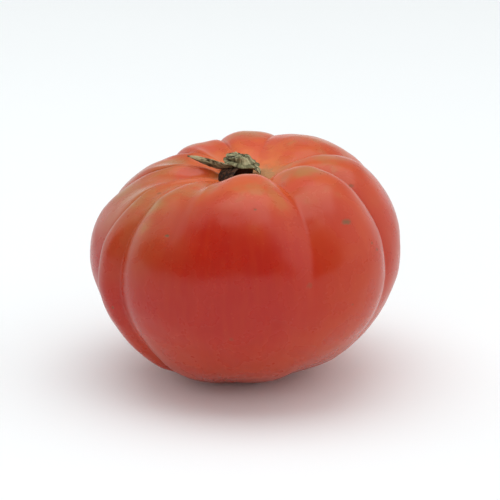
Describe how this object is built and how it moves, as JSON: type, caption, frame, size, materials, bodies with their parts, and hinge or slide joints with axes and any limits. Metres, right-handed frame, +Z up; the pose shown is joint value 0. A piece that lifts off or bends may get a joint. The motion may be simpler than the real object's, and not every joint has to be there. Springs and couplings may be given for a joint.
{
  "type": "ribbed beefsteak tomato",
  "caption": "Ripe ribbed beefsteak tomato, whole, with a shallow stem cavity, a broken dried stalk and curled dried sepals; stands on its flattened base.",
  "frame": {"origin": "under the middle of the fruit, on the surface it stands on", "axes": "+Z up, towards the stalk; front towards -Y, the side with the two broad front lobes; the long dried sepal points towards -X"},
  "size_m": [0.0912, 0.0952, 0.0666],
  "materials": {
    "tomato_skin": "smooth waxy skin, satin gloss, orange-red on the shoulders",
    "dried_stalk": "dry, ridged, olive-grey",
    "dried_calyx": "dry, matt, dark olive-brown",
    "dried_sepal": "dry, veined, olive-grey with pale streaks",
    "withered_sepal": "withered, matt, dark brown"
  },
  "bodies": {
    "root": {"fruit": "tomato_skin", "stem_stub": "dried_stalk", "calyx_hub": "dried_calyx", "sepal_left": "dried_sepal", "sepal_right": "dried_sepal", "sepal_front_left": "withered_sepal", "sepal_back": "dried_sepal", "sepal_back_left": "withered_sepal"}
  },
  "joints": []
}
